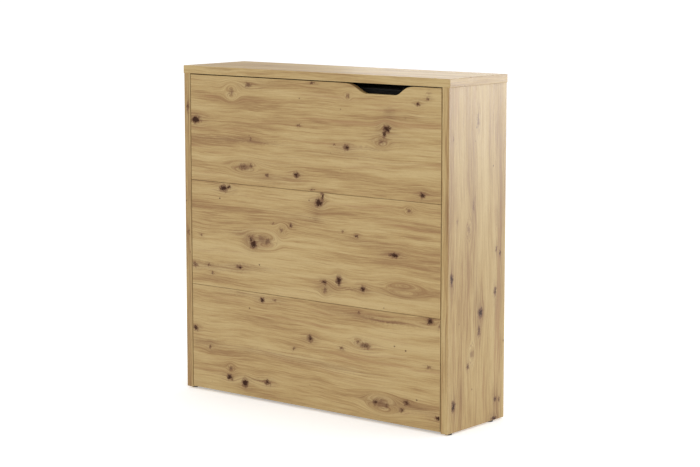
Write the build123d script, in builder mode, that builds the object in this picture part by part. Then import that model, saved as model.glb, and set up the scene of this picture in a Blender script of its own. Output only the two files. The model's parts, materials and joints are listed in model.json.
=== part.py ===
"""Folding guest bed in an oak cabinet.

The cabinet stands against a wall. Its front is pulled straight out on castors, and a bed frame in
two sections unfolds behind it from an inverted V to a flat bed, with a leg under the middle fold.

Frame: +X to the right as seen from the front, +Y towards the wall, +Z up. The origin is on the
floor, under the middle of the closed cabinet. Everything is drawn closed. Millimetres.
"""

import os

from build123d import *

os.makedirs("parts", exist_ok=True)

# Cabinet
WIDTH = 1060.0  # over the two side panels
DEPTH = 295.0
HEIGHT = 1063.0  # floor to the top face
BOARD = 25.0  # side and top panels
TOP_OVERHANG = 2.7  # top panel beyond each side panel
EDGE = 0.6  # eased edge on the oak boards
GLIDE_RADIUS = 11.0
GLIDE_HEIGHT = 5.0
GLIDE_INSET_FRONT = 24.0
GLIDE_INSET_REAR = 58.0
BACK_THICKNESS = 6.0
BACK_RECESS = 10.0  # from the wall side to the back panel
BACK_GROOVE = 8.0
BACK_PLAY = 0.5  # between the back panel's edge and the bottom of its groove
RAIL_BOARD = 18.0  # two boards in front of the back panel
UPPER_RAIL_HEIGHT = 78.0
LOWER_RAIL_LOW = 10.0
LOWER_RAIL_HIGH = 75.0
WALL_BOLT_SPACING = 800.0
WALL_BOLT_HOLE = 4.0
WALL_BOLT_HEIGHT = 1000.0

# Front
FRONT_THICKNESS = 18.0
FRONT_GAP = 3.0  # beside and above the front
FRONT_BOTTOM = GLIDE_HEIGHT + 4.0
SEAM = 1.0  # joint between two front boards
SCOOP_LEFT = 134.0
SCOOP_RIGHT = 404.0
SCOOP_FLAT_LEFT = 224.0
SCOOP_FLAT_RIGHT = 324.0
SCOOP_DEPTH = 29.0
SCOOP_TOP_BEND = 50.0  # how gently its sides leave the top edge
SCOOP_LOW_BEND = 34.0  # how gently they meet the flat bottom
SEAM_BAR_HEIGHT = 40.0
SEAM_BAR_SHEET = 3.0
CATCH_X = 440.0
CATCH_HALF = 15.0
CATCH_LENGTH = 22.0
CATCH_HEIGHT = 8.0
CATCH_GAP = 0.2  # between a magnet and its strike plate
STRIKE_SHEET = 2.0
STRIKE_HEIGHT = 23.0
STRIKE_BELOW_EDGE = 1.0
BOARD_SCREW_RADIUS = 2.5
BOARD_SCREW_DEPTH = 11.0
BOARD_SCREW_HEAD = 2.5
BOARD_SCREW_LIFTS = (70.0, 250.0)  # above each board's lower edge

# Folding bed frame
FOLD_Y = -5.5  # plane between the two folded sections
FOLD_CLEARANCE = 12.0  # from that plane to each frame
TUBE = 25.0
WALL = 2.0
FRAME_HALF = 470.0
PIVOT_Z = 130.0
FOLD_Z = 1026.0
END_GAP = 3.0  # each section stops short of the fold axis
RAIL_TAIL = 20.0  # frame below its pivot
SLAT_COUNT = 10
SLAT_WIDTH = 60.0
SLAT_THICKNESS = 8.0
SLAT_HALF = 459.5
HOLDER_WALL = 2.0
HOLDER_LENGTH = 30.0
HOLDER_LIP = 1.5
HOLDER_CLEARANCE = 0.5  # between the holders and the mattress
SLAT_END_MARGIN = 8.0
SLAT_ROUND = 2.0
MATTRESS_HALF = 465.0
MATTRESS_FACE = 115.0  # sleeping face, from the fold plane
MATTRESS_ROUND = 14.0
MATTRESS_TAIL = {"main": 50.0, "foot": 30.0}
STRAP_WIDTH = 40.0
STRAP_THICKNESS = 1.5
STRAP_CLEARANCE = 1.0
STRAP_HEIGHTS = (345.0, 800.0)
ROD_RADIUS = 5.0
ROD_HALF = 464.0
ROD_CAP = 2.0
EYE_RIM = 3.0  # metal round the fold rod
HINGE_PLATE_INNER = {"main": 452.0, "foot": 458.0}
HINGE_PLATE_DROP = 26.0
HINGE_PLATE_PAST_FOLD = 2.0
PIVOT_PLATE_RISE = 45.0
PIVOT_PIN_RADIUS = 6.0
PIN_CLEARANCE = 0.3  # from a pin's end to the frame
RUNNING = 0.05  # radial clearance of a turning fit
SNUG = 0.02  # radial clearance of a fixed fastener
PLATE = 4.0
FOOT_BRACKET_HALF = 15.0

# Middle leg and front trolley
LEG_TUBE = 20.0
LEG_INNER = 400.0
LEG_FOOT = 4.0
LEG_TUBE_BELOW_AXIS = 8.0
LEG_EYE_RIM = 4.0
LEG_RAIL = 15.0
LEG_RAIL_LIFT = 12.0
POST = 20.0
POST_INNER = 478.0
POST_TOP = 960.0
ARM_LOW = 34.0
ARM_REAR = 105.0
WHEEL_RADIUS = 15.0
WHEEL_WIDTH = 12.0
WHEEL_ROUND = 1.5
WHEEL_YS = {"front": -90.0, "rear": 88.0}
AXLE_RADIUS = 3.0
FORK_SHEET = 2.0
FORK_HALF_LENGTH = 10.0
FORK_BELOW_AXLE = 6.0
FORK_CLEARANCE = 0.5

# Worked out from the above
front_y = -DEPTH / 2
wall_y = DEPTH / 2
side_outer = WIDTH / 2
side_inner = side_outer - BOARD
under_top = HEIGHT - BOARD
back_front = wall_y - BACK_RECESS - BACK_THICKNESS
back_rear = wall_y - BACK_RECESS
rail_front = back_front - RAIL_BOARD
front_half = side_inner - FRONT_GAP
front_top = under_top - FRONT_GAP
front_back = front_y + FRONT_THICKNESS
board_height = (front_top - FRONT_BOTTOM - 2 * SEAM) / 3
seam_heights = [FRONT_BOTTOM + board_height * n + SEAM * (n - 0.5) for n in (1, 2)]
pivot_offset = FOLD_CLEARANCE + TUBE / 2
frame_low = PIVOT_Z - RAIL_TAIL
frame_high = FOLD_Z - END_GAP
rail_face = FOLD_CLEARANCE + TUBE
slat_low = rail_face + HOLDER_WALL
slat_high = slat_low + SLAT_THICKNESS
mattress_low = slat_high + HOLDER_LIP + HOLDER_CLEARANCE
first_slat = frame_low + SLAT_END_MARGIN + SLAT_WIDTH / 2
last_slat = frame_high - SLAT_END_MARGIN - SLAT_WIDTH / 2
slat_pitch = (last_slat - first_slat) / (SLAT_COUNT - 1)
slat_heights = [first_slat + slat_pitch * n for n in range(SLAT_COUNT)]
leg_low = FOLD_Z - (PIVOT_Z - pivot_offset)
wheel_x = POST_INNER + POST / 2

SIDES = {"left": -1, "right": 1}
SECTIONS = {"main": 1, "foot": -1}  # which way each section faces from the fold plane
TURN_TO_AXIS = ((0, 90, 0), (90, 0, 0), (0, 0, 0))


def add_box(low, high, mode=Mode.ADD):
    """A box between two opposite corners, given in either order."""
    with Locations(tuple((a + b) / 2 for a, b in zip(low, high))):
        Box(*[abs(b - a) for a, b in zip(low, high)], mode=mode)


def add_tube(low, high):
    """A square tube with welded end plates."""
    ends = [sorted(pair) for pair in zip(low, high)]
    add_box(low, high)
    add_box([a + WALL for a, b in ends], [b - WALL for a, b in ends], mode=Mode.SUBTRACT)


def add_rod(start, end, radius, mode=Mode.ADD):
    """A cylinder between two points in line with X, Y or Z."""
    spans = [abs(b - a) for a, b in zip(start, end)]
    with Locations(tuple((a + b) / 2 for a, b in zip(start, end))):
        Cylinder(radius, max(spans), rotation=TURN_TO_AXIS[spans.index(max(spans))], mode=mode)


def from_fold(facing, offset):
    """The Y that lies this far from the fold plane, on the side that a section faces."""
    return FOLD_Y + facing * offset


def save(builder, label):
    """Name a finished piece and write it."""
    builder.part.label = label
    export_step(builder.part, f"parts/{label}.step")


# ---------------------------------------------------------------- fasteners of the cabinet
DOWEL_RADIUS = 4.0
DOWEL_IN_FACE = 13.0
DOWEL_IN_END = 22.0
TOP_DOWEL_YS = (-100.0, 0.0, 95.0)
RAIL_DOWEL_ZS = (LOWER_RAIL_LOW + 12.0, under_top - 62.0)
dowel_lines = []
for sign in SIDES.values():
    middle = sign * (side_inner + BOARD / 2)
    for y in TOP_DOWEL_YS:
        low = (middle, y, under_top - DOWEL_IN_END)
        dowel_lines.append((low, (middle, y, under_top + DOWEL_IN_FACE)))
    for z in RAIL_DOWEL_ZS:
        inside = (sign * (side_inner - DOWEL_IN_END), rail_front + RAIL_BOARD / 2, z)
        dowel_lines.append((inside, (sign * (side_inner + DOWEL_IN_FACE), inside[1], z)))

CAM_RADIUS = 7.5
CAM_DEPTH = 13.0
CAM_FROM_END = 34.0
CAM_BOLT_RADIUS = 3.0
CAM_BOLT_IN_SIDE = 10.0
CAM_ZS = (LOWER_RAIL_HIGH - 20.0, under_top - 22.0)
cam_places = [(sign, z) for sign in SIDES.values() for z in CAM_ZS]


def cut_dowel_holes():
    """Bore the piece being made for every dowel that reaches it."""
    for start, end in dowel_lines:
        add_rod(start, end, DOWEL_RADIUS + SNUG, mode=Mode.SUBTRACT)


def add_cam_bolt(sign, z, radius, mode=Mode.ADD):
    """The bolt from a side panel to the cam in the end of a rear rail."""
    y = rail_front + RAIL_BOARD / 2
    start = sign * (side_inner - CAM_FROM_END + CAM_RADIUS)
    add_rod((start, y, z), (sign * (side_inner + CAM_BOLT_IN_SIDE), y, z), radius, mode=mode)


def add_cam(sign, z, radius, mode=Mode.ADD):
    """The cam disc in the front face of a rear rail."""
    x = sign * (side_inner - CAM_FROM_END)
    add_rod((x, rail_front, z), (x, rail_front + CAM_DEPTH, z), radius, mode=mode)


# ---------------------------------------------------------------- cabinet
BRACKET_SHEET = 3.0
BRACKET_HALF = 30.0
BRACKET_HALF_HEIGHT = 35.0
BRACKET_CORNER = 8.0
BRACKET_SCREW_RADIUS = 2.0
BRACKET_SCREW_LENGTH = 12.0
BRACKET_SCREW_HEAD = 2.0
BRACKET_SCREW_EDGE = 8.0  # from the plate's edges to a screw
BOSS_RADIUS = 10.0
BOSS_CLEARANCE = 2.0
bracket_y = FOLD_Y + pivot_offset
screw_dy = BRACKET_HALF - BRACKET_SCREW_EDGE
screw_dz = BRACKET_HALF_HEIGHT - BRACKET_SCREW_EDGE
bracket_screws_at = [
    (bracket_y + y_sign * screw_dy, PIVOT_Z + z_sign * screw_dz) for y_sign in (-1, 1) for z_sign in (-1, 1)
]

for side, sign in SIDES.items():
    with BuildPart() as side_panel:
        add_box((sign * side_inner, front_y, GLIDE_HEIGHT), (sign * side_outer, wall_y, under_top))
        chamfer(side_panel.edges(), EDGE)
        groove_bottom = sign * (side_inner + BACK_GROOVE)
        groove_mouth = (sign * side_inner, back_front, 0.0)
        add_box(groove_mouth, (groove_bottom, back_rear, HEIGHT), mode=Mode.SUBTRACT)
        cut_dowel_holes()
        for bolt_sign, z in cam_places:
            add_cam_bolt(bolt_sign, z, CAM_BOLT_RADIUS + SNUG, mode=Mode.SUBTRACT)
        for y, z in bracket_screws_at:
            end = sign * (side_inner + BRACKET_SCREW_LENGTH)
            add_rod((sign * side_inner, y, z), (end, y, z), BRACKET_SCREW_RADIUS + SNUG, Mode.SUBTRACT)
    save(side_panel, f"side_panel_{side}")

top_half = side_outer + TOP_OVERHANG
with BuildPart() as top_panel:
    add_box((-top_half, front_y, under_top), (top_half, wall_y, HEIGHT))
    chamfer(top_panel.edges(), EDGE)
    cut_dowel_holes()
save(top_panel, "top_panel")

with BuildPart() as back_panel:
    half = side_inner + BACK_GROOVE - BACK_PLAY
    add_box((-half, back_front, LOWER_RAIL_LOW), (half, back_rear, under_top))
    for sign in SIDES.values():
        x = sign * WALL_BOLT_SPACING / 2
        ends = [(x, y, WALL_BOLT_HEIGHT) for y in (back_front, back_rear)]
        add_rod(*ends, WALL_BOLT_HOLE, mode=Mode.SUBTRACT)
save(back_panel, "back_panel")

rear_rails = {
    "upper_rear_rail": (under_top - UPPER_RAIL_HEIGHT, under_top),
    "lower_rear_rail": (LOWER_RAIL_LOW, LOWER_RAIL_HIGH),
}
for name, (low, high) in rear_rails.items():
    with BuildPart() as rear_rail:
        add_box((-side_inner, rail_front, low), (side_inner, back_front, high))
        cut_dowel_holes()
        for sign, z in cam_places:
            add_cam_bolt(sign, z, CAM_BOLT_RADIUS + SNUG, mode=Mode.SUBTRACT)
            add_cam(sign, z, CAM_RADIUS + SNUG, mode=Mode.SUBTRACT)
        for sign in SIDES.values():
            x = sign * WALL_BOLT_SPACING / 2
            ends = [(x, y, WALL_BOLT_HEIGHT) for y in (rail_front, back_front)]
            add_rod(*ends, WALL_BOLT_HOLE, mode=Mode.SUBTRACT)
    save(rear_rail, name)

with BuildPart() as glides:
    for sign in SIDES.values():
        for y in (front_y + GLIDE_INSET_FRONT, wall_y - GLIDE_INSET_REAR):
            x = sign * (side_inner + BOARD / 2)
            add_rod((x, y, 0.0), (x, y, GLIDE_HEIGHT), GLIDE_RADIUS)
save(glides, "glides")

with BuildPart() as dowels:
    for start, end in dowel_lines:
        add_rod(start, end, DOWEL_RADIUS)
save(dowels, "dowels")

with BuildPart() as cam_bolts:
    for sign, z in cam_places:
        add_cam_bolt(sign, z, CAM_BOLT_RADIUS)
save(cam_bolts, "cam_bolts")

with BuildPart() as cam_locks:
    for sign, z in cam_places:
        add_cam(sign, z, CAM_RADIUS - SNUG)
save(cam_locks, "cam_locks")

plate_face = side_inner - BRACKET_SHEET
boss_end = FRAME_HALF + PLATE + BOSS_CLEARANCE
pin_end = FRAME_HALF + PIN_CLEARANCE
for side, sign in SIDES.items():
    with BuildPart() as pivot_bracket:
        add_box(
            (sign * plate_face, bracket_y - BRACKET_HALF, PIVOT_Z - BRACKET_HALF_HEIGHT),
            (sign * side_inner, bracket_y + BRACKET_HALF, PIVOT_Z + BRACKET_HALF_HEIGHT),
        )
        fillet(pivot_bracket.edges().filter_by(Axis.X), BRACKET_CORNER)
        pin_from, boss_from, boss_to = [
            (sign * x, bracket_y, PIVOT_Z) for x in (pin_end, boss_end, plate_face)
        ]
        add_rod(boss_from, boss_to, BOSS_RADIUS)
        add_rod(pin_from, boss_from, PIVOT_PIN_RADIUS)
        for y, z in bracket_screws_at:
            ends = [(sign * x, y, z) for x in (plate_face, side_inner)]
            add_rod(*ends, BRACKET_SCREW_RADIUS + SNUG, mode=Mode.SUBTRACT)
    save(pivot_bracket, f"pivot_bracket_{side}")

with BuildPart() as bracket_screws:
    for sign in SIDES.values():
        for y, z in bracket_screws_at:
            tip = (sign * (side_inner + BRACKET_SCREW_LENGTH), y, z)
            neck = (sign * plate_face, y, z)
            add_rod(neck, tip, BRACKET_SCREW_RADIUS)
            add_rod((sign * (plate_face - BRACKET_SCREW_HEAD), y, z), neck, 2 * BRACKET_SCREW_RADIUS)
save(bracket_screws, "bracket_screws")

magnet_front = front_back + STRIKE_SHEET + CATCH_GAP
with BuildPart() as catch_magnets:
    for sign in SIDES.values():
        low = (sign * CATCH_X - CATCH_HALF, magnet_front, under_top - CATCH_HEIGHT)
        add_box(low, (sign * CATCH_X + CATCH_HALF, front_back + CATCH_LENGTH, under_top))
save(catch_magnets, "catch_magnets")

# ---------------------------------------------------------------- the two bed sections
for section, facing in SECTIONS.items():
    near = from_fold(facing, FOLD_CLEARANCE)
    face = from_fold(facing, rail_face)
    slat_faces = (from_fold(facing, slat_low), from_fold(facing, slat_high))

    for side, sign in SIDES.items():
        with BuildPart() as side_rail:
            add_tube((sign * (FRAME_HALF - TUBE), near, frame_low), (sign * FRAME_HALF, face, frame_high))
        save(side_rail, f"{section}_side_rail_{side}")

    rail_half = FRAME_HALF - TUBE
    for name, low in (("pivot", frame_low), ("fold", frame_high - TUBE)):
        with BuildPart() as end_rail:
            add_tube((-rail_half, near, low), (rail_half, face, low + TUBE))
        save(end_rail, f"{section}_{name}_end_rail")

    with BuildPart() as slats:
        for z in slat_heights:
            low = (-SLAT_HALF, slat_faces[0], z - SLAT_WIDTH / 2)
            add_box(low, (SLAT_HALF, slat_faces[1], z + SLAT_WIDTH / 2))
        fillet(slats.edges().filter_by(Axis.X), SLAT_ROUND)
    save(slats, f"{section}_slats")

    with BuildPart() as slat_holders:
        holder_end = SLAT_HALF + HOLDER_WALL
        holder_half = SLAT_WIDTH / 2 + HOLDER_WALL
        holder_face = from_fold(facing, slat_high + HOLDER_LIP)
        for sign in SIDES.values():
            for z in slat_heights:
                low = (sign * (holder_end - HOLDER_LENGTH), face, z - holder_half)
                add_box(low, (sign * holder_end, holder_face, z + holder_half))
        for z in slat_heights:
            low = (-SLAT_HALF, slat_faces[0], z - SLAT_WIDTH / 2)
            high = (SLAT_HALF, slat_faces[1], z + SLAT_WIDTH / 2)
            add_box(low, high, mode=Mode.SUBTRACT)
    save(slat_holders, f"{section}_slat_holders")

    with BuildPart() as mattress:
        slat_side = from_fold(facing, mattress_low)
        sleeping_side = from_fold(facing, MATTRESS_FACE)
        low = (-MATTRESS_HALF, slat_side, PIVOT_Z - MATTRESS_TAIL[section])
        add_box(low, (MATTRESS_HALF, sleeping_side, frame_high))
        fillet(mattress.edges(), MATTRESS_ROUND)
    save(mattress, f"{section}_mattress")

    with BuildPart() as straps:
        inner = MATTRESS_HALF + STRAP_CLEARANCE
        outer = inner + STRAP_THICKNESS
        under_strap = from_fold(facing, MATTRESS_FACE + STRAP_CLEARANCE)
        strap_face = from_fold(facing, MATTRESS_FACE + STRAP_CLEARANCE + STRAP_THICKNESS)
        for z in STRAP_HEIGHTS:
            edges = (z - STRAP_WIDTH / 2, z + STRAP_WIDTH / 2)
            add_box((-outer, face, edges[0]), (outer, strap_face, edges[1]))
            add_box((-inner, face, edges[0]), (inner, under_strap, edges[1]), mode=Mode.SUBTRACT)
    save(straps, f"{section}_mattress_straps")

    plate_inner = HINGE_PLATE_INNER[section]
    with BuildPart() as hinge_plates:
        for sign in SIDES.values():
            x_ends = (sign * plate_inner, sign * (plate_inner + PLATE))
            past_fold = from_fold(facing, -HINGE_PLATE_PAST_FOLD)
            low = (x_ends[0], past_fold, FOLD_Z - HINGE_PLATE_DROP)
            add_box(low, (x_ends[1], near, frame_high))
            eye = [(x, FOLD_Y, FOLD_Z) for x in x_ends]
            add_rod(*eye, ROD_RADIUS + EYE_RIM)
            add_rod(*eye, ROD_RADIUS + RUNNING, mode=Mode.SUBTRACT)
    save(hinge_plates, f"{section}_hinge_plates")

    with BuildPart() as pivot_plates:
        for sign in SIDES.values():
            x_ends = (sign * FRAME_HALF, sign * (FRAME_HALF + PLATE))
            add_box((x_ends[0], near, frame_low), (x_ends[1], face, PIVOT_Z + PIVOT_PLATE_RISE))
            eye = [(x, from_fold(facing, pivot_offset), PIVOT_Z) for x in x_ends]
            add_rod(*eye, PIVOT_PIN_RADIUS + RUNNING, mode=Mode.SUBTRACT)
    save(pivot_plates, f"{section}_pivot_plates")

with BuildPart() as fold_rod:
    add_rod((-ROD_HALF, FOLD_Y, FOLD_Z), (ROD_HALF, FOLD_Y, FOLD_Z), ROD_RADIUS)
    for sign in SIDES.values():
        cap = [(sign * x, FOLD_Y, FOLD_Z) for x in (ROD_HALF, ROD_HALF + ROD_CAP)]
        add_rod(*cap, ROD_RADIUS + EYE_RIM)
save(fold_rod, "fold_rod")

# ---------------------------------------------------------------- middle leg
leg_outer = LEG_INNER + LEG_TUBE
for side, sign in SIDES.items():
    with BuildPart() as leg:
        low = (sign * LEG_INNER, FOLD_Y - LEG_TUBE / 2, leg_low + LEG_FOOT)
        add_tube(low, (sign * leg_outer, FOLD_Y + LEG_TUBE / 2, FOLD_Z - LEG_TUBE_BELOW_AXIS))
        eye = [(sign * x, FOLD_Y, FOLD_Z) for x in (LEG_INNER, leg_outer)]
        add_rod(*eye, ROD_RADIUS + LEG_EYE_RIM)
        add_rod(*eye, ROD_RADIUS + RUNNING, mode=Mode.SUBTRACT)
    save(leg, f"middle_leg_{side}")

with BuildPart() as leg_cross_rail:
    low = (-LEG_INNER, FOLD_Y - LEG_RAIL / 2, leg_low + LEG_RAIL_LIFT)
    add_tube(low, (LEG_INNER, FOLD_Y + LEG_RAIL / 2, leg_low + LEG_RAIL_LIFT + LEG_RAIL))
save(leg_cross_rail, "leg_cross_rail")

with BuildPart() as leg_feet:
    for sign in SIDES.values():
        low = (sign * LEG_INNER, FOLD_Y - LEG_TUBE / 2, leg_low)
        add_box(low, (sign * leg_outer, FOLD_Y + LEG_TUBE / 2, leg_low + LEG_FOOT))
save(leg_feet, "leg_feet")

# ---------------------------------------------------------------- front and its trolley
post_back = front_back + POST
board_screws_at = []
for row in range(3):
    board_low = FRONT_BOTTOM + row * (board_height + SEAM)
    for lift in BOARD_SCREW_LIFTS:
        board_screws_at += [(sign * wheel_x, board_low + lift) for sign in SIDES.values()]

front_plane = Plane(origin=(0, front_y, 0), x_dir=(1, 0, 0), z_dir=(0, -1, 0))
for row, level in enumerate(("bottom", "middle", "top")):
    low = FRONT_BOTTOM + row * (board_height + SEAM)
    with BuildPart() as front_board:
        add_box((-front_half, front_y, low), (front_half, front_back, low + board_height))
        if level == "top":
            scoop_low = front_top - SCOOP_DEPTH
            with BuildSketch(front_plane):
                with BuildLine():
                    Bezier(
                        (SCOOP_LEFT, front_top),
                        (SCOOP_LEFT + SCOOP_TOP_BEND, front_top),
                        (SCOOP_FLAT_LEFT - SCOOP_LOW_BEND, scoop_low),
                        (SCOOP_FLAT_LEFT, scoop_low),
                    )
                    Line((SCOOP_FLAT_LEFT, scoop_low), (SCOOP_FLAT_RIGHT, scoop_low))
                    Bezier(
                        (SCOOP_FLAT_RIGHT, scoop_low),
                        (SCOOP_FLAT_RIGHT + SCOOP_LOW_BEND, scoop_low),
                        (SCOOP_RIGHT - SCOOP_TOP_BEND, front_top),
                        (SCOOP_RIGHT, front_top),
                    )
                    Line((SCOOP_RIGHT, front_top), (SCOOP_LEFT, front_top))
                make_face()
            extrude(amount=-FRONT_THICKNESS, mode=Mode.SUBTRACT)
        chamfer(front_board.faces().sort_by(Axis.Y)[0].edges(), EDGE)
        for x, z in board_screws_at:
            tip = (x, front_back - BOARD_SCREW_DEPTH, z)
            add_rod((x, front_back, z), tip, BOARD_SCREW_RADIUS + SNUG, mode=Mode.SUBTRACT)
    save(front_board, f"front_board_{level}")

for side, sign in SIDES.items():
    with BuildPart() as front_post:
        low = (sign * POST_INNER, front_back, ARM_LOW)
        add_tube(low, (sign * (POST_INNER + POST), post_back, POST_TOP))
        for x, z in board_screws_at:
            ends = ((x, front_back, z), (x, post_back, z))
            add_rod(*ends, BOARD_SCREW_RADIUS + SNUG, mode=Mode.SUBTRACT)
    save(front_post, f"front_post_{side}")

with BuildPart() as board_screws:
    for x, z in board_screws_at:
        add_rod((x, front_back - BOARD_SCREW_DEPTH, z), (x, post_back, z), BOARD_SCREW_RADIUS)
        add_rod((x, post_back, z), (x, post_back + BOARD_SCREW_HEAD, z), 2 * BOARD_SCREW_RADIUS)
save(board_screws, "board_screws")

with BuildPart() as seam_bars:
    for z in seam_heights:
        low = (-POST_INNER, front_back, z - SEAM_BAR_HEIGHT / 2)
        add_box(low, (POST_INNER, front_back + SEAM_BAR_SHEET, z + SEAM_BAR_HEIGHT / 2))
save(seam_bars, "seam_bars")

strike_top = front_top - STRIKE_BELOW_EDGE
with BuildPart() as strike_plates:
    for sign in SIDES.values():
        low = (sign * CATCH_X - CATCH_HALF, front_back, strike_top - STRIKE_HEIGHT)
        add_box(low, (sign * CATCH_X + CATCH_HALF, front_back + STRIKE_SHEET, strike_top))
save(strike_plates, "strike_plates")

arm_high = ARM_LOW + POST
for side, sign in SIDES.items():
    with BuildPart() as foot_arm:
        low = (sign * POST_INNER, post_back, ARM_LOW)
        add_tube(low, (sign * (POST_INNER + POST), ARM_REAR, arm_high))
    save(foot_arm, f"foot_arm_{side}")

with BuildPart() as trolley_cross_rail:
    add_tube((-POST_INNER, ARM_REAR - POST, ARM_LOW), (POST_INNER, ARM_REAR, arm_high))
save(trolley_cross_rail, "trolley_cross_rail")

foot_pivot_y = FOLD_Y - pivot_offset
for side, sign in SIDES.items():
    with BuildPart() as foot_pivot_bracket:
        plate_outer = POST_INNER + PLATE
        low = (sign * POST_INNER, foot_pivot_y - FOOT_BRACKET_HALF, arm_high)
        add_box(low, (sign * plate_outer, foot_pivot_y + FOOT_BRACKET_HALF, PIVOT_Z))
        crown = [(sign * x, foot_pivot_y, PIVOT_Z) for x in (POST_INNER, plate_outer)]
        add_rod(*crown, FOOT_BRACKET_HALF)
        add_rod((sign * pin_end, foot_pivot_y, PIVOT_Z), crown[0], PIVOT_PIN_RADIUS)
    save(foot_pivot_bracket, f"foot_pivot_bracket_{side}")

fork_half = WHEEL_WIDTH / 2 + FORK_CLEARANCE
fork_outer = fork_half + FORK_SHEET
fork_top = ARM_LOW - FORK_SHEET
castor_places = []
for side, sign in SIDES.items():
    for end, y in WHEEL_YS.items():
        castor_places.append((side, end, sign * wheel_x, y))

with BuildPart() as castor_forks:
    for side, end, x, y in castor_places:
        y_ends = (y - FORK_HALF_LENGTH, y + FORK_HALF_LENGTH)
        low = (x - fork_outer, y_ends[0], WHEEL_RADIUS - FORK_BELOW_AXLE)
        add_box(low, (x + fork_outer, y_ends[1], ARM_LOW))
        slot_high = (x + fork_half, y_ends[1], fork_top)
        add_box((x - fork_half, y_ends[0], 0.0), slot_high, mode=Mode.SUBTRACT)
        axle = [(x + dx, y, WHEEL_RADIUS) for dx in (-fork_outer, fork_outer)]
        add_rod(*axle, AXLE_RADIUS + SNUG, mode=Mode.SUBTRACT)
save(castor_forks, "castor_forks")

with BuildPart() as castor_axles:
    for side, end, x, y in castor_places:
        axle = [(x + dx, y, WHEEL_RADIUS) for dx in (-fork_outer, fork_outer)]
        add_rod(*axle, AXLE_RADIUS)
save(castor_axles, "castor_axles")

for side, end, x, y in castor_places:
    with BuildPart() as wheel:
        rims = [(x + dx, y, WHEEL_RADIUS) for dx in (-WHEEL_WIDTH / 2, WHEEL_WIDTH / 2)]
        add_rod(*rims, WHEEL_RADIUS)
        fillet(wheel.edges(), WHEEL_ROUND)
        add_rod(*rims, AXLE_RADIUS + RUNNING, mode=Mode.SUBTRACT)
    save(wheel, f"castor_wheel_{end}_{side}")
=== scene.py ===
"""The looks of the folding guest bed: oak boards with knots, powder-coated tubes, quilted mattresses."""

import json
import math

import bmesh
import bpy
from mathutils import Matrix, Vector
from mathutils.bvhtree import BVHTree


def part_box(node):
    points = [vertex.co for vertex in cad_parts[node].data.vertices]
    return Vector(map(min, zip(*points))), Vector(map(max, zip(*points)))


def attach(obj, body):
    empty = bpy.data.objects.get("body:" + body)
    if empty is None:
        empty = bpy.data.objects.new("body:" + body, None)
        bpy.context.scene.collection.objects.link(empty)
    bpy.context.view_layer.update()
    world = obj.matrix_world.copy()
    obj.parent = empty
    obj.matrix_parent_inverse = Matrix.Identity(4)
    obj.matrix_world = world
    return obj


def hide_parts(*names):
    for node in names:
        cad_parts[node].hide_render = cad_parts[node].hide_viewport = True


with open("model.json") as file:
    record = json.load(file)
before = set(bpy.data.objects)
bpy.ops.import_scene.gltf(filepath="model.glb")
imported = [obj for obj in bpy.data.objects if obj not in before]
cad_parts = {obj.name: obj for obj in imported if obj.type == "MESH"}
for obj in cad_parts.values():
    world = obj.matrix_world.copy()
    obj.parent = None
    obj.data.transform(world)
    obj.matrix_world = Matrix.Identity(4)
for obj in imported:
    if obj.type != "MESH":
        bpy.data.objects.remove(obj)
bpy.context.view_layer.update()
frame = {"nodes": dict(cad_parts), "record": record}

# ---------------------------------------------------------------- camera, floor and light
SENSOR = 36.0  # millimetres across
LENS = 102.0  # millimetres
SHIFT_DOWN = 0.048  # of the picture's width
CAMERA_AT = (3.915, -4.812, 1.453)
CAMERA_PITCH = 7.36  # degrees down
CAMERA_YAW = 38.84  # degrees to the left of straight ahead
WORLD_LIGHT = 0.78
FLOOR_GLOW = 0.36  # lifts the floor to a plain pale sheet
FLOOR_SIZE = 120.0

scene = bpy.context.scene
scene.view_settings.view_transform = "Standard"

camera_data = bpy.data.cameras.new("camera")
camera_data.sensor_width = SENSOR
camera_data.lens = LENS
camera_data.shift_y = -SHIFT_DOWN
camera_data.clip_end = 100.0  # metres
camera = bpy.data.objects.new("camera", camera_data)
camera.location = CAMERA_AT
camera.rotation_euler = (math.radians(90 - CAMERA_PITCH), 0, math.radians(CAMERA_YAW))
scene.collection.objects.link(camera)
scene.camera = camera


def add_area_light(name, place, aim, size, power):
    """A soft square light, in metres and watts, that points from place to aim."""
    data = bpy.data.lights.new(name, "AREA")
    data.size = size
    data.energy = power
    light = bpy.data.objects.new(name, data)
    light.location = place
    light.rotation_euler = (Vector(aim) - Vector(place)).to_track_quat("-Z", "Y").to_euler()
    scene.collection.objects.link(light)
    return light


# These two only show as a soft shine, the first on the right side and the second on the lid.
side_sheen = add_area_light(
    "side_sheen", place=(2.9, 3.3, 1.55), aim=(0.53, 0, 0.85), size=2.4, power=400
)
side_sheen.visible_diffuse = False
lid_sheen = add_area_light("lid_sheen", place=(-1.4, 3.2, 1.9), aim=(0.5, 0, 1.06), size=1.8, power=15)
lid_sheen.visible_diffuse = False
add_area_light("top_light", place=(0.3, 0.4, 4.4), aim=(0, 0, 0.5), size=3.0, power=38)

world = bpy.data.worlds.new("world")
world.use_nodes = True
world.node_tree.nodes["Background"].inputs["Color"].default_value = (1, 1, 1, 1)
world.node_tree.nodes["Background"].inputs["Strength"].default_value = WORLD_LIGHT
scene.world = world


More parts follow.
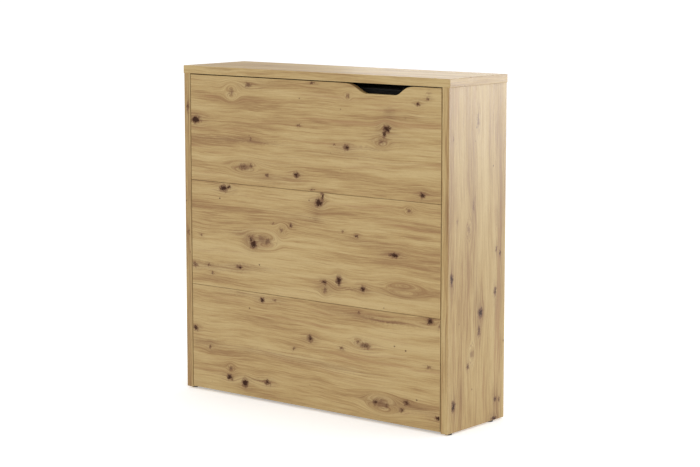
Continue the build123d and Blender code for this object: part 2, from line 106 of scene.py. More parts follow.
# ---------------------------------------------------------------- node helpers
class Graph:
    """Short calls that add shader nodes and link them. Numbers may stand in for sockets."""

    def __init__(self, name):
        self.material = bpy.data.materials.new(name)
        self.material.use_nodes = True
        self.tree = self.material.node_tree
        self.shader = self.tree.nodes["Principled BSDF"]

    def feed(self, socket, value):
        if isinstance(value, bpy.types.NodeSocket):
            self.tree.links.new(value, socket)
        else:
            socket.default_value = value

    def node(self, kind, inputs=(), **settings):
        made = self.tree.nodes.new(kind)
        for key, value in settings.items():
            setattr(made, key, value)
        for key, value in dict(inputs).items():
            self.feed(made.inputs[key], value)
        return made

    def math(self, operation, *values, clamp=False):
        made = self.node("ShaderNodeMath", enumerate(values), operation=operation, use_clamp=clamp)
        return made.outputs[0]

    def vector(self, operation, *values):
        made = self.node("ShaderNodeVectorMath", enumerate(values), operation=operation)
        return made.outputs["Value" if operation in ("DOT_PRODUCT", "LENGTH") else "Vector"]

    def noise(self, vector, scale=1.0, detail=2.0, roughness=0.5, distortion=0.0):
        inputs = {"Vector": vector, "Scale": scale, "Detail": detail, "Roughness": roughness}
        inputs["Distortion"] = distortion
        return self.node("ShaderNodeTexNoise", inputs)

    def join(self, x, y, z=0.0):
        return self.node("ShaderNodeCombineXYZ", enumerate((x, y, z))).outputs[0]

    def mix(self, factor, first, second, blend="MIX"):
        made = self.node("ShaderNodeMix", {"Factor": factor}, data_type="RGBA", blend_type=blend)
        self.feed(made.inputs[6], first)
        self.feed(made.inputs[7], second)
        return made.outputs[2]

    def step(self, value, low, high, to_low=0.0, to_high=1.0):
        inputs = {0: value, 1: low, 2: high, 3: to_low, 4: to_high}
        made = self.node("ShaderNodeMapRange", inputs, interpolation_type="SMOOTHSTEP")
        return made.outputs[0]

    def ramp(self, value, stops):
        made = self.node("ShaderNodeValToRGB", {"Fac": value})
        elements = made.color_ramp.elements
        while len(elements) < len(stops):
            elements.new(0.5)
        for element, (position, colour) in zip(elements, stops):
            element.position = position
            element.color = (*colour, 1)
        return made.outputs["Color"]

    def bump(self, height, strength, distance):
        inputs = {"Height": height, "Strength": strength, "Distance": distance}
        return self.node("ShaderNodeBump", inputs).outputs[0]

    def place(self):
        return self.node("ShaderNodeTexCoord").outputs["Object"]


# ---------------------------------------------------------------- oak
OAK_LIGHT = (0.558, 0.415, 0.202)
OAK_MIDDLE = (0.473, 0.327, 0.145)
OAK_DARK = (0.330, 0.197, 0.088)
OAK_LINE = (0.274, 0.146, 0.074)
OAK_STAIN = (0.354, 0.188, 0.092)
KNOT_HALO = (0.180, 0.088, 0.048)
KNOT_CORE = (0.044, 0.014, 0.004)
SPECK = (0.10, 0.05, 0.03)
OAK_SHINE = 0.12
MM = 0.001
BELL = 0.3679  # BELL to the power d squared falls from one to nothing
END_FACING = 0.7  # faces that look along the grain by more than this are ends
EDGE_SHAKE = (0.034, 0.024, 0.0)  # how far noise moves a knot's outline, in metres
HALF_SHAKE_BACK = (-0.017, -0.012, 0.0)
SMALLEST_FLOW = 0.0065  # wider knots, in metres, bend the grain
EYE_DARKNESS = 0.58  # fainter wide knots are eyes with rings and no dark core
EYE_BEND = 2.2
KNOT_BEND = 0.75
FLOW_REACH = (2.6, 1.9)  # times a knot's half sizes
HALO_REACH = (2.6, 1.7)
HALO_SHARE = 0.60
STREAK_SHARE = 1.15
SWAY = 0.050
RINGS_TURN = 760.0  # radians per metre across the grain
RINGS_WANDER = 26.0


def oak(name, along, across, end_along, seed, knots=(), streaks=()):
    """Knotty oak laminate. A knot is (along, across, half length, half width, darkness), in mm.

    along and across turn a place into how far it lies along and across the grain, and end_along
    is the way that the edge banding runs on an end. The grain bends round each larger knot. A
    streak is a long stain with no core.
    """
    g = Graph(name)
    coordinates = g.node("ShaderNodeTexCoord").outputs
    place = coordinates["Object"]
    facing = g.math("ABSOLUTE", g.vector("DOT_PRODUCT", coordinates["Normal"], along))
    on_end = g.math("GREATER_THAN", facing, END_FACING)
    end_shift = g.math("MULTIPLY", on_end, g.vector("DOT_PRODUCT", place, end_along))
    u = g.math("ADD", g.vector("DOT_PRODUCT", place, along), end_shift)
    v = g.math("SUBTRACT", g.vector("DOT_PRODUCT", place, across), end_shift)
    flat = g.join(u, v, seed)
    ragged = g.noise(flat, 95.0, 4.0, 0.7).outputs["Color"]
    shaken = g.vector("MULTIPLY_ADD", ragged, EDGE_SHAKE, HALF_SHAKE_BACK)
    rough_flat = g.vector("ADD", flat, shaken)

    def bell(at, centre, half_sizes):
        """One at the centre, falling off smoothly past the half sizes."""
        scale = tuple(1 / size for size in half_sizes)
        offset = tuple(-c / size for c, size in zip(centre, half_sizes))
        local = g.vector("MULTIPLY_ADD", at, (*scale, 0.0), (*offset, 0.0))
        return g.math("POWER", BELL, g.vector("DOT_PRODUCT", local, local))

    core = 0.0
    halo = 0.0
    flow = v
    for *sizes, darkness in knots:
        ku, kv, length, width = [MM * size for size in sizes]
        dark_spot = g.math("MULTIPLY", bell(rough_flat, (ku, kv), (length, width)), darkness)
        core = g.math("MAXIMUM", dark_spot, core)
        ring = bell(rough_flat, (ku, kv), (length * HALO_REACH[0], width * HALO_REACH[1]))
        halo = g.math("MULTIPLY_ADD", ring, HALO_SHARE * darkness, halo)
        if width > SMALLEST_FLOW:
            reach = bell(flat, (ku, kv), (length * FLOW_REACH[0], width * FLOW_REACH[1]))
            bend = KNOT_BEND if darkness > EYE_DARKNESS else EYE_BEND
            across_knot = g.math("SUBTRACT", kv, v)
            flow = g.math("MULTIPLY_ADD", g.math("MULTIPLY", reach, bend), across_knot, flow)
    for *sizes, darkness in streaks:
        su, sv, length, width = [MM * size for size in sizes]
        stretch = bell(rough_flat, (su, sv), (length, width))
        halo = g.math("MULTIPLY_ADD", stretch, STREAK_SHARE * darkness, halo)

    sway_at = g.join(g.math("MULTIPLY", u, 2.0), g.math("MULTIPLY", v, 3.2), seed)
    sway = g.noise(sway_at, 1.0, 3.0, 0.5).outputs["Fac"]
    flow = g.math("MULTIPLY_ADD", sway, SWAY, flow)

    def stretched(along_scale, across_scale, detail, roughness=0.55):
        at = g.join(g.math("MULTIPLY", u, along_scale), g.math("MULTIPLY", flow, across_scale), seed)
        return g.noise(at, 1.0, detail, roughness).outputs["Fac"]

    broad = stretched(1.6, 19.0, 3.0)
    bands = stretched(4.0, 130.0, 5.0, 0.80)
    fibres = stretched(13.0, 480.0, 3.0, 0.6)
    pores = stretched(90.0, 1700.0, 2.0)
    tone = g.math("MULTIPLY_ADD", bands, 0.40, g.math("MULTIPLY", broad, 0.46))
    tone = g.math("MULTIPLY_ADD", fibres, 0.30, tone)
    colour = g.ramp(tone, [(0.475, OAK_DARK), (0.57, OAK_MIDDLE), (0.665, OAK_LIGHT)])

    stain = g.math("MULTIPLY", g.step(stretched(2.2, 36.0, 4.0, 0.65), 0.54, 0.74), 0.55)
    colour = g.mix(stain, colour, (*OAK_STAIN, 1))

    wander = g.math("MULTIPLY", broad, RINGS_WANDER)
    ring_phase = g.math("MULTIPLY_ADD", flow, RINGS_TURN, wander)
    ring = g.math("POWER", g.math("MULTIPLY_ADD", g.math("SINE", ring_phase), 0.5, 0.5), 9.0)
    ring_mask = g.step(stretched(2.4, 30.0, 3.0), 0.50, 0.68)
    near_knot = g.step(halo, 0.02, 0.25)
    ring_show = g.math("MULTIPLY_ADD", near_knot, 0.42, g.math("MULTIPLY", ring_mask, 0.34))
    ring_amount = g.math("MULTIPLY", ring, ring_show, clamp=True)
    colour = g.mix(ring_amount, colour, (*OAK_LINE, 1))

    pore_amount = g.math("MULTIPLY", g.step(pores, 0.54, 0.70), 0.26)
    colour = g.mix(pore_amount, colour, (*OAK_LINE, 1))

    speck_at = g.join(g.math("MULTIPLY", u, 24.0), g.math("MULTIPLY", v, 30.0), seed)
    speck = g.node("ShaderNodeTexVoronoi", {"Vector": speck_at, "Scale": 1.0}).outputs
    rare = g.step(g.node("ShaderNodeSeparateColor", {0: speck["Color"]}).outputs[0], 0.88, 0.90)
    speck_amount = g.math("MULTIPLY", g.step(speck["Distance"], 0.04, 0.12, 0.85, 0.0), rare)
    colour = g.mix(speck_amount, colour, (*SPECK, 1))

    grain_break = g.step(bands, 0.36, 0.62, 1.0, 0.25)
    halo_amount = g.math("MULTIPLY", halo, grain_break, clamp=True)
    colour = g.mix(g.math("MULTIPLY", halo_amount, 0.80), colour, (*KNOT_HALO, 1))
    fringe = g.math("MULTIPLY", g.step(core, 0.08, 0.46), 0.74)
    colour = g.mix(fringe, colour, (*KNOT_HALO, 1))
    torn_at = g.join(g.math("MULTIPLY", u, 210.0), g.math("MULTIPLY", v, 300.0), seed)
    torn = g.noise(torn_at, 1.0, 3.0, 0.7).outputs["Fac"]
    tearing = g.step(core, 0.10, 0.35, 0.0, 0.9)
    torn_core = g.math("MULTIPLY_ADD", g.math("SUBTRACT", torn, 0.5), tearing, core)
    core_amount = g.step(torn_core, 0.42, 0.80)
    colour = g.mix(core_amount, colour, (*KNOT_CORE, 1))

    g.feed(g.shader.inputs["Base Color"], colour)
    g.feed(g.shader.inputs["Roughness"], g.step(fibres, 0.3, 0.7, 0.34, 0.46))
    g.shader.inputs["Specular IOR Level"].default_value = OAK_SHINE
    height = g.math("MULTIPLY_ADD", pore_amount, -1.2, g.math("MULTIPLY", fibres, 0.5))
    height = g.math("MULTIPLY_ADD", core_amount, -0.6, height)
    g.feed(g.shader.inputs["Normal"], g.bump(height, 0.22, 0.0005))
    return g.material


# ---------------------------------------------------------------- other finishes
def speckled(name, dark, light, scale, roughness, bump=0.0, shine=0.5):
    """Moulded plastic, rubber or powder coat: fine mottling with a matching grain."""
    g = Graph(name)
    place = g.place()
    grain = g.noise(place, scale, 3.0, 0.6).outputs["Fac"]
    cloud = g.noise(place, scale / 60, 3.0, 0.6).outputs["Fac"]
    blend = g.math("MULTIPLY_ADD", grain, 0.6, g.math("MULTIPLY", cloud, 0.4))
    g.feed(g.shader.inputs["Base Color"], g.ramp(blend, [(0.35, dark), (0.65, light)]))
    g.feed(g.shader.inputs["Roughness"], g.step(cloud, 0.3, 0.7, roughness - 0.06, roughness + 0.08))
    g.feed(g.shader.inputs["Normal"], g.bump(grain, bump, 0.0004))
    g.shader.inputs["Specular IOR Level"].default_value = shine
    return g.material


def brushed_zinc():
    """Zinc plate: soft drawn lines and cloudy spangle."""
    g = Graph("zinc_steel")
    place = g.place()
    lines = g.noise(g.vector("MULTIPLY", place, (900.0, 60.0, 900.0)), 1.0, 2.0).outputs["Fac"]
    cloud = g.noise(place, 140.0, 3.0, 0.6).outputs["Fac"]
    colour = g.ramp(cloud, [(0.3, (0.42, 0.42, 0.40)), (0.7, (0.66, 0.66, 0.65))])
    g.feed(g.shader.inputs["Base Color"], colour)
    g.feed(g.shader.inputs["Roughness"], g.step(lines, 0.3, 0.7, 0.26, 0.42))
    g.feed(g.shader.inputs["Normal"], g.bump(lines, 0.10, 0.0002))
    g.shader.inputs["Metallic"].default_value = 1.0
    return g.material


def straight_wood(name, along, across, dark, light, scale=1.0):
    """Plain straight-grained wood for slats, dowels and hardboard."""
    g = Graph(name)
    place = g.place()
    u = g.vector("DOT_PRODUCT", place, along)
    v = g.vector("DOT_PRODUCT", place, across)

    def stretched(along_scale, across_scale, detail):
        at = g.join(g.math("MULTIPLY", u, along_scale), g.math("MULTIPLY", v, across_scale * scale))
        return g.noise(at, 1.0, detail, 0.6, 0.4).outputs["Fac"]

    bands = stretched(2.2, 60.0, 4.0)
    fibres = stretched(14.0, 640.0, 3.0)
    tone = g.math("MULTIPLY_ADD", fibres, 0.4, g.math("MULTIPLY", bands, 0.6))
    g.feed(g.shader.inputs["Base Color"], g.ramp(tone, [(0.36, dark), (0.64, light)]))
    g.feed(g.shader.inputs["Roughness"], g.step(fibres, 0.3, 0.7, 0.38, 0.52))
    g.feed(g.shader.inputs["Normal"], g.bump(fibres, 0.18, 0.0004))
    return g.material


def woven(name, dark, light, thread, sheen):
    """A plain weave: threads cross over and under, with slubs and a soft sheen."""
    g = Graph(name)
    place = g.place()
    turn = 2 * math.pi / thread
    x, y, z = g.node("ShaderNodeSeparateXYZ", {0: place}).outputs
    slub = g.noise(place, 260.0, 3.0, 0.6).outputs["Fac"]
    wobble = g.math("MULTIPLY", slub, 1.6)
    side_way = g.math("ADD", x, y)
    warp = g.math("SINE", g.math("MULTIPLY_ADD", side_way, turn, wobble))
    weft = g.math("SINE", g.math("MULTIPLY_ADD", z, turn, wobble))
    weave = g.math("MULTIPLY_ADD", g.math("MULTIPLY", warp, weft), 0.5, 0.5)
    tone = g.math("MULTIPLY_ADD", slub, 0.45, g.math("MULTIPLY", weave, 0.55))
    cloud = g.noise(place, 5.0, 3.0).outputs["Fac"]
    tone = g.math("MULTIPLY_ADD", g.math("SUBTRACT", cloud, 0.5), 0.25, tone)
    g.feed(g.shader.inputs["Base Color"], g.ramp(tone, [(0.2, dark), (0.8, light)]))
    g.shader.inputs["Roughness"].default_value = 0.88
    g.shader.inputs["Specular IOR Level"].default_value = 0.06
    g.shader.inputs["Sheen Weight"].default_value = sheen
    g.shader.inputs["Sheen Roughness"].default_value = 0.5
    g.feed(g.shader.inputs["Normal"], g.bump(weave, 0.45, 0.0006))
    return g.material


# ---------------------------------------------------------------- the oak boards
# Knots and stains: (along, across, half length, half width, darkness), in mm. On the
# front boards along is x and across is the height; on the sides along is the height and across is
# the depth from the middle, and on the lid along is x and across is the depth.
TOP_BOARD_KNOTS = [
    (-480, 890, 20, 12, 1.0), (-255, 1010, 16, 8, 0.60), (-325, 985, 12, 14, 0.40),
    (10, 1030, 10, 4, 0.70), (150, 995, 6, 7, 0.55), (300, 905, 13, 12, 1.0),
    (290, 890, 8, 14, 0.85), (280, 865, 12, 9, 0.50), (415, 985, 8, 7, 0.75),
    (450, 1000, 7, 5, 0.60), (145, 840, 12, 9, 0.85), (95, 845, 6, 4, 0.60),
    (-45, 895, 7, 6, 0.52), (-245, 840, 7, 5, 0.55), (-275, 750, 26, 11, 0.58),
    (-245, 755, 8, 7, 0.70), (-175, 730, 8, 6, 0.62), (-55, 740, 12, 9, 0.80),
    (435, 715, 11, 9, 0.80), (10, 700, 7, 4, 0.62),
]
TOP_BOARD_STREAKS = [
    (-325, 835, 130, 7, 0.62), (-195, 832, 90, 5, 0.42), (-195, 1015, 60, 16, 0.30),
    (-145, 720, 120, 16, 0.28), (125, 815, 200, 14, 0.20), (305, 875, 100, 20, 0.24),
    (310, 950, 20, 16, 0.55), (280, 865, 24, 14, 0.60), (370, 945, 60, 12, 0.26),
    (205, 840, 90, 6, 0.40), (455, 1015, 6, 14, 0.45),
]
MIDDLE_BOARD_KNOTS = [
    (-360, 675, 17, 11, 1.0), (-340, 680, 11, 7, 0.85), (35, 660, 14, 13, 1.0),
    (50, 680, 7, 15, 0.80), (-80, 580, 8, 7, 0.75), (-115, 560, 9, 11, 0.45),
    (-150, 580, 5, 4, 0.52), (-235, 505, 16, 13, 1.0), (-245, 520, 10, 12, 0.75),
    (-200, 525, 22, 14, 0.42), (-175, 520, 15, 11, 0.56), (-460, 515, 5, 5, 0.58),
    (-490, 415, 12, 10, 0.60), (-430, 420, 7, 5, 0.62), (-410, 395, 7, 6, 0.68),
    (-295, 425, 15, 7, 0.85), (55, 415, 12, 8, 0.85), (60, 390, 8, 10, 0.58),
    (115, 425, 11, 16, 1.0), (210, 410, 12, 12, 0.78), (185, 570, 7, 7, 0.66),
    (130, 580, 5, 4, 0.52), (330, 525, 18, 7, 1.0), (385, 665, 7, 7, 0.50),
    (370, 425, 30, 12, 0.20),
]
MIDDLE_BOARD_STREAKS = [
    (-395, 415, 120, 9, 0.42), (-255, 430, 110, 9, 0.34), (-25, 612, 90, 14, 0.24),
    (215, 555, 120, 12, 0.22), (345, 405, 110, 16, 0.24), (160, 405, 40, 4, 0.70),
    (-285, 535, 50, 9, 0.45), (25, 617, 18, 16, 0.50), (65, 395, 50, 20, 0.26),
]
BOTTOM_BOARD_KNOTS = [
    (-200, 330, 12, 8, 0.88), (-145, 335, 9, 6, 0.48), (-490, 205, 11, 9, 0.85),
    (-425, 150, 6, 8, 0.64), (0, 230, 13, 11, 0.85), (-65, 190, 7, 5, 0.62),
    (125, 215, 7, 6, 0.60), (190, 245, 9, 7, 0.56), (220, 235, 24, 11, 0.62),
    (195, 335, 6, 5, 0.58), (-340, 60, 14, 10, 0.90), (-335, 90, 8, 9, 0.50),
    (-275, 50, 13, 14, 1.0), (-180, 65, 14, 10, 0.80), (465, 340, 14, 10, 0.92),
    (505, 330, 7, 8, 0.80), (460, 200, 9, 5, 0.62), (260, 65, 12, 10, 0.70),
    (280, 65, 24, 15, 0.46), (300, 60, 12, 10, 0.58), (380, 80, 12, 8, 0.75),
    (360, 55, 9, 7, 0.72), (495, 50, 13, 7, 0.92),
]
BOTTOM_BOARD_STREAKS = [
    (-285, 340, 70, 8, 0.40), (235, 325, 150, 8, 0.42), (285, 320, 120, 5, 0.75),
    (-445, 160, 80, 16, 0.38), (-145, 160, 240, 12, 0.30), (125, 150, 160, 12, 0.28),
    (-225, 67, 50, 4, 0.60), (335, 75, 130, 16, 0.34), (435, 65, 60, 8, 0.48),
    (-125, 335, 40, 10, 0.25),
]
SIDE_KNOTS = [
    (935, 0, 22, 7, 0.48), (885, -125, 9, 5, 0.42), (680, -20, 22, 6, 0.48),
    (610, -45, 14, 9, 0.34), (640, -105, 7, 5, 0.38), (535, 100, 10, 6, 0.60),
    (520, 120, 9, 5, 0.68), (470, -130, 20, 7, 0.88), (405, 95, 13, 6, 0.85),
    (350, 20, 14, 12, 0.98), (295, 12, 20, 8, 0.62), (230, -25, 14, 10, 0.36),
    (195, -45, 8, 6, 0.70), (85, -117, 18, 10, 0.88), (70, 100, 10, 6, 0.70),
    (65, 120, 9, 5, 0.58), (10, 95, 7, 14, 0.95),
]
SIDE_STREAKS = [
    (630, 108, 40, 9, 0.40), (340, 100, 60, 9, 0.32), (400, 0, 50, 14, 0.26),
    (780, -20, 160, 14, 0.14), (125, -78, 50, 12, 0.34), (470, -10, 240, 16, 0.14),
    (60, 100, 60, 16, 0.24), (660, -155, 60, 9, 0.45), (250, -155, 160, 8, 0.30),
]
LEFT_KNOTS = [
    (930, -132, 20, 6, 0.62), (520, -134, 10, 5, 0.50), (300, 130, 16, 10, 0.85),
    (720, 50, 18, 9, 0.75), (840, -30, 10, 7, 0.70), (120, 10, 14, 10, 0.90),
]
LEFT_STREAKS = [
    (500, -132, 600, 10, 0.26), (400, 50, 260, 16, 0.22), (750, -60, 200, 14, 0.20),
]
LID_KNOTS = [(-300, 0, 20, 9, 0.60), (130, 80, 14, 8, 0.55)]
LID_STREAKS = [
    (-250, -60, 240, 18, 0.22), (200, 20, 260, 20, 0.18), (-430, 60, 120, 20, 0.28),
    (-380, -155, 60, 6, 0.30),
]

CROSSWAYS = (1, 0, 0)
UPRIGHT = (0, 0, 1)
DEPTHWAYS = (0, 1, 0)
FRONT_ACROSS = (0, 1, 1)
SIDE_ACROSS = (1, 1, 0)

# The number after the knots and streaks, the seed, picks each board's own grain.
front_knots = {
    "front_board_top": (TOP_BOARD_KNOTS, TOP_BOARD_STREAKS, 1.3),
    "front_board_middle": (MIDDLE_BOARD_KNOTS, MIDDLE_BOARD_STREAKS, 4.7),
    "front_board_bottom": (BOTTOM_BOARD_KNOTS, BOTTOM_BOARD_STREAKS, 9.1),
}


def moved(marks, offset):
    """The same marks with offset, in metres, added to their place across the grain."""
    return [(u, across + offset / MM, *rest) for u, across, *rest in marks]


right_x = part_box("side_panel_right")[1][0]
left_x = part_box("side_panel_left")[0][0]
lid_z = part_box("top_panel")[1][2]
oak_boards = {
    "side_panel_right": oak(
        "oak_side_right", UPRIGHT, SIDE_ACROSS, DEPTHWAYS, 12.4,
        moved(SIDE_KNOTS, right_x), moved(SIDE_STREAKS, right_x),
    ),
    "side_panel_left": oak(
        "oak_side_left", UPRIGHT, SIDE_ACROSS, DEPTHWAYS, 15.8,
        moved(LEFT_KNOTS, left_x), moved(LEFT_STREAKS, left_x),
    ),
    "top_panel": oak(
        "oak_top", CROSSWAYS, FRONT_ACROSS, DEPTHWAYS, 18.2,
        moved(LID_KNOTS, lid_z), moved(LID_STREAKS, lid_z),
    ),
}
for board, (knots, streaks, seed) in front_knots.items():
    front_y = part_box(board)[0][1]
    oak_boards[board] = oak(
        f"oak_{board}", CROSSWAYS, FRONT_ACROSS, UPRIGHT, seed,
        moved(knots, front_y), moved(streaks, front_y),
    )

BLACK = (0.010, 0.010, 0.011)
CHARCOAL = (0.030, 0.030, 0.032)
finishes = {
    "oak_rail": oak("oak_rail", CROSSWAYS, FRONT_ACROSS, UPRIGHT, 21.0),
    "hardboard": straight_wood(
        "hardboard", UPRIGHT, SIDE_ACROSS, (0.33, 0.22, 0.11), (0.46, 0.33, 0.18), 0.4
    ),
    "beech_dowel": straight_wood(
        "beech_dowel", UPRIGHT, SIDE_ACROSS, (0.50, 0.32, 0.18), (0.66, 0.46, 0.28)
    ),
    "birch_slat": straight_wood(
        "birch_slat", CROSSWAYS, FRONT_ACROSS, (0.56, 0.39, 0.21), (0.76, 0.60, 0.38)
    ),
    "holder_plastic": speckled("holder_plastic", BLACK, CHARCOAL, 2600, 0.5, 0.25),
    "glide_plastic": speckled("glide_plastic", BLACK, CHARCOAL, 2600, 0.5, 0.2),
    "catch_plastic": speckled("catch_plastic", BLACK, CHARCOAL, 2400, 0.45, 0.2),
    "wheel_rubber": speckled("wheel_rubber", (0.07, 0.07, 0.07), (0.13, 0.13, 0.13), 1600, 0.62, 0.3),
    "foot_rubber": speckled("foot_rubber", BLACK, CHARCOAL, 1500, 0.7, 0.3),
    "frame_paint": speckled(
        "frame_paint", (0.014, 0.013, 0.012), (0.026, 0.024, 0.023), 1900, 0.46, 0.35, 0.22
    ),
    "zinc_steel": brushed_zinc(),
}
for part in frame["record"]["subparts"]:
    node = part["node"]
    material = oak_boards.get(node) or finishes.get(part["material_slot"])
    if material:
        for material_slot in frame["nodes"][node].material_slots:
            material_slot.material = material

ticking = woven("mattress_fabric", (0.007, 0.007, 0.007), (0.032, 0.032, 0.033), 0.0026, 0.03)
webbing = woven("strap_webbing", (0.010, 0.010, 0.010), (0.046, 0.045, 0.044), 0.0016, 0.12)
piping = woven("mattress_piping", (0.010, 0.010, 0.011), (0.042, 0.043, 0.046), 0.0018, 0.10)
thread = speckled("stitch_thread", (0.20, 0.21, 0.23), (0.34, 0.35, 0.38), 3000, 0.7, 0.2)

# ---------------------------------------------------------------- mattresses, sizes in metres
VOXEL = 0.008
CROWN = 0.007  # how far the cover may swell
SIDE_INSETS = (0.004, 0.0, 0.003)  # the cover starts this far inside the foam's box
EDGE_ROUND = 0.012
RIM_DROP = 0.010  # the rim lies this far below the starting face
RIM_BAND = 0.016
TOUCHING = 0.004
CHANNEL_PITCH = 0.11375
CHANNEL_MARGIN = 0.04  # no channel is nearer than this to an end
CHANNEL_HALF = 0.006
CHANNEL_DEPTH = 0.0035
CHANNEL_SOFT = 0.007
STRAP_HEIGHTS = (0.345, 0.800)
STRAP_HALF = 0.020
STRAP_THICK = 0.0015
STRAP_BEND = 0.012
STRAP_COLUMNS = 9
PIPING_RADIUS = 0.0024
PIPING_CORNER = 0.018
STITCH = (0.0042, 0.0014, 0.0012)  # along, through and across the seam
STITCH_GAP = 0.0028
SEAM_END = 0.030
CLOTH_FRAMES = 20
PRESSURE = 55.0


def link(name, mesh, material):
    """A new object with one material."""
    made = bpy.data.objects.new(name, mesh)
    mesh.materials.append(material)
    scene.collection.objects.link(made)
    return made


def apply_modifiers(piece):
    """Keep the shape that the modifiers give, and drop the modifiers."""
    shaped = bpy.data.meshes.new_from_object(piece.evaluated_get(bpy.context.evaluated_depsgraph_get()))
    piece.modifiers.clear()
    piece.data = shaped


def channel_levels(low_z, high_z):
    """Heights of the sewn channels, laid out from the lower strap."""
    first = math.ceil((low_z + CHANNEL_MARGIN - STRAP_HEIGHTS[0]) / CHANNEL_PITCH)
    last = math.floor((high_z - CHANNEL_MARGIN - STRAP_HEIGHTS[0]) / CHANNEL_PITCH)
    return [STRAP_HEIGHTS[0] + CHANNEL_PITCH * n for n in range(first, last + 1)]


def channel_gap(z, levels):
    """Distance from a height to the nearest sewn channel or strap edge."""
    gaps = [abs(z - level) for level in levels]
    gaps += [max(0.0, abs(z - level) - STRAP_HALF) for level in STRAP_HEIGHTS]
    return min(gaps)


def make_mattress(section, facing):
    """Half of the mattress: a foam block whose quilted cover swells between its channels."""
    low, high = [Vector(corner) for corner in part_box(f"{section}_mattress")]
    levels = channel_levels(low.z, high.z)
    sleeping_y = high.y if facing > 0 else low.y
    slat_y = low.y if facing > 0 else high.y
    shell = bmesh.new()
    bmesh.ops.create_cube(shell, size=1.0)
    for corner in shell.verts:
        share = corner.co + Vector((0.5, 0.5, 0.5))
        corner.co = Vector(
            a + d + s * (b - a - 2 * d) for a, b, d, s in zip(low, high, SIDE_INSETS, share)
        )
        if abs(corner.co.y - sleeping_y) < 0.001:
            corner.co.y -= facing * CROWN
    bmesh.ops.bevel(
        shell, geom=shell.edges[:], offset=EDGE_ROUND, segments=4, affect="EDGES", profile=0.5
    )
    mesh = bpy.data.meshes.new(f"{section}_mattress_cover")
    shell.to_mesh(mesh)
    shell.free()
    cover = link(f"{section}_mattress_cover", mesh, ticking)
    remesh = cover.modifiers.new("remesh", "REMESH")
    remesh.mode = "VOXEL"
    remesh.voxel_size = VOXEL
    apply_modifiers(cover)

    start = [vertex.co.copy() for vertex in cover.data.vertices]
    edge_y = sleeping_y - facing * (CROWN + RIM_DROP)
    held = []
    for index, place in enumerate(start):
        on_channel = channel_gap(place.z, levels) < CHANNEL_HALF
        on_slats = abs(place.y - slat_y) < TOUCHING
        to_rim = min(place.x - low.x, high.x - place.x, place.z - low.z, high.z - place.z)
        near_rim = to_rim < RIM_BAND
        on_rim = near_rim and (place.y - edge_y) * facing > -TOUCHING
        if on_channel and (place.y - edge_y) * facing > 0 or on_slats or on_rim:
            held.append(index)
    group = cover.vertex_groups.new(name="held")
    group.add(held, 1.0, "REPLACE")
    swell(cover, group.name)
    for vertex, before in zip(cover.data.vertices, start):
        move = vertex.co - before
        if move.length > CROWN:
            vertex.co = before + move * (CROWN / move.length)
        vertex.co = [min(max(c, a), b) for c, a, b in zip(vertex.co, low, high)]
        if (vertex.co.y - edge_y) * facing > 0:
            gap = channel_gap(vertex.co.z, levels)
            vertex.co.y -= facing * CHANNEL_DEPTH * math.exp(-((gap / CHANNEL_SOFT) ** 2))
    cover.vertex_groups.clear()
    smooth = cover.modifiers.new("smooth", "SUBSURF")
    smooth.levels = 1
    smooth.render_levels = 1
    apply_modifiers(cover)
    cover.data.polygons.foreach_set("use_smooth", [True] * len(cover.data.polygons))
    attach(cover, f"{section}_section")
    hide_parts(f"{section}_mattress")
    return cover, levels, sleeping_y


def swell(cover, held_group):
    """Blow the cover up a little with cloth pressure, and keep the result."""
    cloth = cover.modifiers.new("cloth", "CLOTH")
    cloth.settings.use_pressure = True
    cloth.settings.uniform_pressure_force = PRESSURE
    cloth.settings.vertex_group_mass = held_group
    cloth.settings.effector_weights.gravity = 0.0
    cloth.settings.quality = 3
    cloth.collision_settings.use_collision = False
    cloth.point_cache.frame_start = 1
    cloth.point_cache.frame_end = CLOTH_FRAMES
    for frame_number in range(1, CLOTH_FRAMES + 1):
        scene.frame_set(frame_number)
    apply_modifiers(cover)
    scene.frame_set(1)


def add_piping(section, facing, sleeping_y):
    """A cord sewn into both rims of the mattress cover."""
    low, high = [Vector(corner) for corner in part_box(f"{section}_mattress")]
    slat_y = low.y if facing > 0 else high.y
    rims = {"face": sleeping_y - facing * (CROWN + 0.004), "slat": slat_y + facing * 0.008}
    for rim, y in rims.items():
        curve = bpy.data.curves.new(f"{section}_piping_{rim}", "CURVE")
        curve.dimensions = "3D"
        curve.bevel_depth = PIPING_RADIUS
        curve.bevel_resolution = 3
        spline = curve.splines.new("POLY")
        x_half = high.x - 0.0055
        z_low, z_high = low.z + 0.005, high.z - 0.005
        corners = [
            (x_half, z_high, 0), (-x_half, z_high, 90), (-x_half, z_low, 180), (x_half, z_low, 270),
        ]
        points = []
        for x, z, turn in corners:
            centre_x = x - math.copysign(PIPING_CORNER, x)
            centre_z = z - math.copysign(PIPING_CORNER, z - 0.5)
            for part in range(7):
                angle = math.radians(turn + 15 * part)
                round_x = centre_x + PIPING_CORNER * math.cos(angle)
                round_z = centre_z + PIPING_CORNER * math.sin(angle)
                points.append((round_x, y, round_z))
        spline.points.add(len(points) - 1)
        for point, place in zip(spline.points, points):
            point.co = (*place, 1)
        spline.use_cyclic_u = True
        cord = bpy.data.objects.new(f"{section}_piping_{rim}", curve)
        curve.materials.append(piping)
        scene.collection.objects.link(cord)
        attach(cord, f"{section}_section")


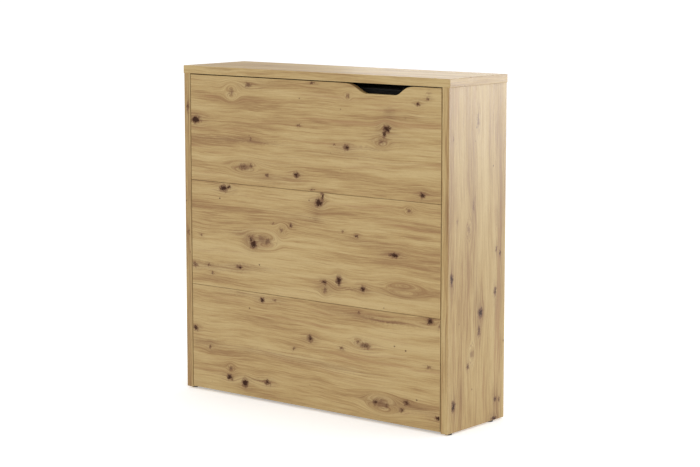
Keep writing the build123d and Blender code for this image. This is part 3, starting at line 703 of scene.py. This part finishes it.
def add_stitches(section, facing, cover, levels):
    """Rows of stitches along the sewn channels, laid on the cover."""
    tree_mesh = bmesh.new()
    tree_mesh.from_mesh(cover.data)
    surface = BVHTree.FromBMesh(tree_mesh)
    low, high = [Vector(corner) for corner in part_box(f"{section}_mattress")]
    stitches = bmesh.new()
    for level in levels:
        x = low.x + SEAM_END
        while x < high.x - SEAM_END:
            far = Vector((x, (high.y if facing > 0 else low.y) + facing * 0.05, level))
            spot = surface.ray_cast(far, Vector((0, -facing, 0)))[0]
            if spot:
                made = bmesh.ops.create_cube(stitches, size=1.0)["verts"]
                for corner in made:
                    corner.co = [s + c * side for s, c, side in zip(spot, corner.co, STITCH)]
            x += STITCH[0] + STITCH_GAP
    tree_mesh.free()
    bmesh.ops.bevel(
        stitches, geom=stitches.edges[:], offset=0.0003, segments=1, affect="EDGES", profile=0.5
    )
    mesh = bpy.data.meshes.new(f"{section}_stitches")
    stitches.to_mesh(mesh)
    stitches.free()
    rows = link(f"{section}_stitches", mesh, thread)
    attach(rows, f"{section}_section")


def add_straps(section, facing):
    """Woven straps from rail to rail over the mattress, rounded at its edges."""
    low, high = [Vector(corner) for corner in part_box(f"{section}_mattress_straps")]
    rail_y = low.y if facing > 0 else high.y
    reach = high.y - low.y
    half = high.x
    for number, level in enumerate(STRAP_HEIGHTS, start=1):
        outline = [(half, 0.0), (half, reach * 0.4), (half, reach - STRAP_BEND)]
        for part in range(1, 7):
            angle = math.radians(15 * part)
            across = half - STRAP_BEND + STRAP_BEND * math.cos(angle)
            outline.append((across, reach - STRAP_BEND + STRAP_BEND * math.sin(angle)))
        outline += [(half * share, reach) for share in (0.8, 0.6, 0.4, 0.2)]
        outline += [(0.0, reach)]
        outline += [(-x, d) for x, d in reversed(outline[:-1])]
        band = bmesh.new()
        columns = STRAP_COLUMNS
        rows = []
        for index, (x, d) in enumerate(outline):
            before = Vector(outline[max(index - 1, 0)])
            after = Vector(outline[min(index + 1, len(outline) - 1)])
            along = (after - before).normalized()
            inward = Vector((-along.y, along.x)) * STRAP_THICK
            row = []
            for layer in (0, 1):
                for column in range(columns):
                    share = column / (columns - 1) * 2 - 1
                    roll = 0.0004 * (1 - share * share)
                    depth = layer if layer else roll / STRAP_THICK
                    place = Vector((x, d)) + inward * depth
                    z = level + share * (STRAP_HALF - 0.0005)
                    row.append(band.verts.new((place.x, rail_y + facing * place.y, z)))
            rows.append(row)
        for first, second in zip(rows, rows[1:]):
            for start in (0, columns):
                for column in range(columns - 1):
                    a = start + column
                    band.faces.new((first[a], first[a + 1], second[a + 1], second[a]))
            for a, b in ((0, columns), (columns - 1, 2 * columns - 1)):
                band.faces.new((first[a], first[b], second[b], second[a]))
        for row in (rows[0], rows[-1]):
            for column in range(columns - 1):
                ends = (row[column], row[column + 1], row[columns + column + 1], row[columns + column])
                band.faces.new(ends)
        bmesh.ops.recalc_face_normals(band, faces=band.faces)
        mesh = bpy.data.meshes.new(f"{section}_strap_{number}")
        band.to_mesh(mesh)
        band.free()
        strap = link(f"{section}_strap_{number}", mesh, webbing)
        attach(strap, f"{section}_section")
        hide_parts(f"{section}_mattress_straps")


for section, facing in {"main": 1, "foot": -1}.items():
    cover, levels, sleeping_y = make_mattress(section, facing)
    add_piping(section, facing, sleeping_y)
    add_stitches(section, facing, cover, levels)
    add_straps(section, facing)

# ---------------------------------------------------------------- floor
floor_mesh = bmesh.new()
bmesh.ops.create_grid(floor_mesh, x_segments=1, y_segments=1, size=FLOOR_SIZE)
mesh = bpy.data.meshes.new("floor")
floor_mesh.to_mesh(mesh)
floor_mesh.free()
floor_paint = Graph("floor_paint")
floor_cloud = floor_paint.noise(floor_paint.place(), 0.8, 3.0).outputs["Fac"]
pale = floor_paint.ramp(floor_cloud, [(0.3, (0.93, 0.93, 0.93)), (0.7, (0.95, 0.95, 0.95))])
floor_paint.feed(floor_paint.shader.inputs["Base Color"], pale)
floor_paint.shader.inputs["Roughness"].default_value = 0.9
floor_paint.shader.inputs["Emission Color"].default_value = (1, 1, 1, 1)
floor_paint.shader.inputs["Emission Strength"].default_value = FLOOR_GLOW
floor = link("floor", mesh, floor_paint.material)
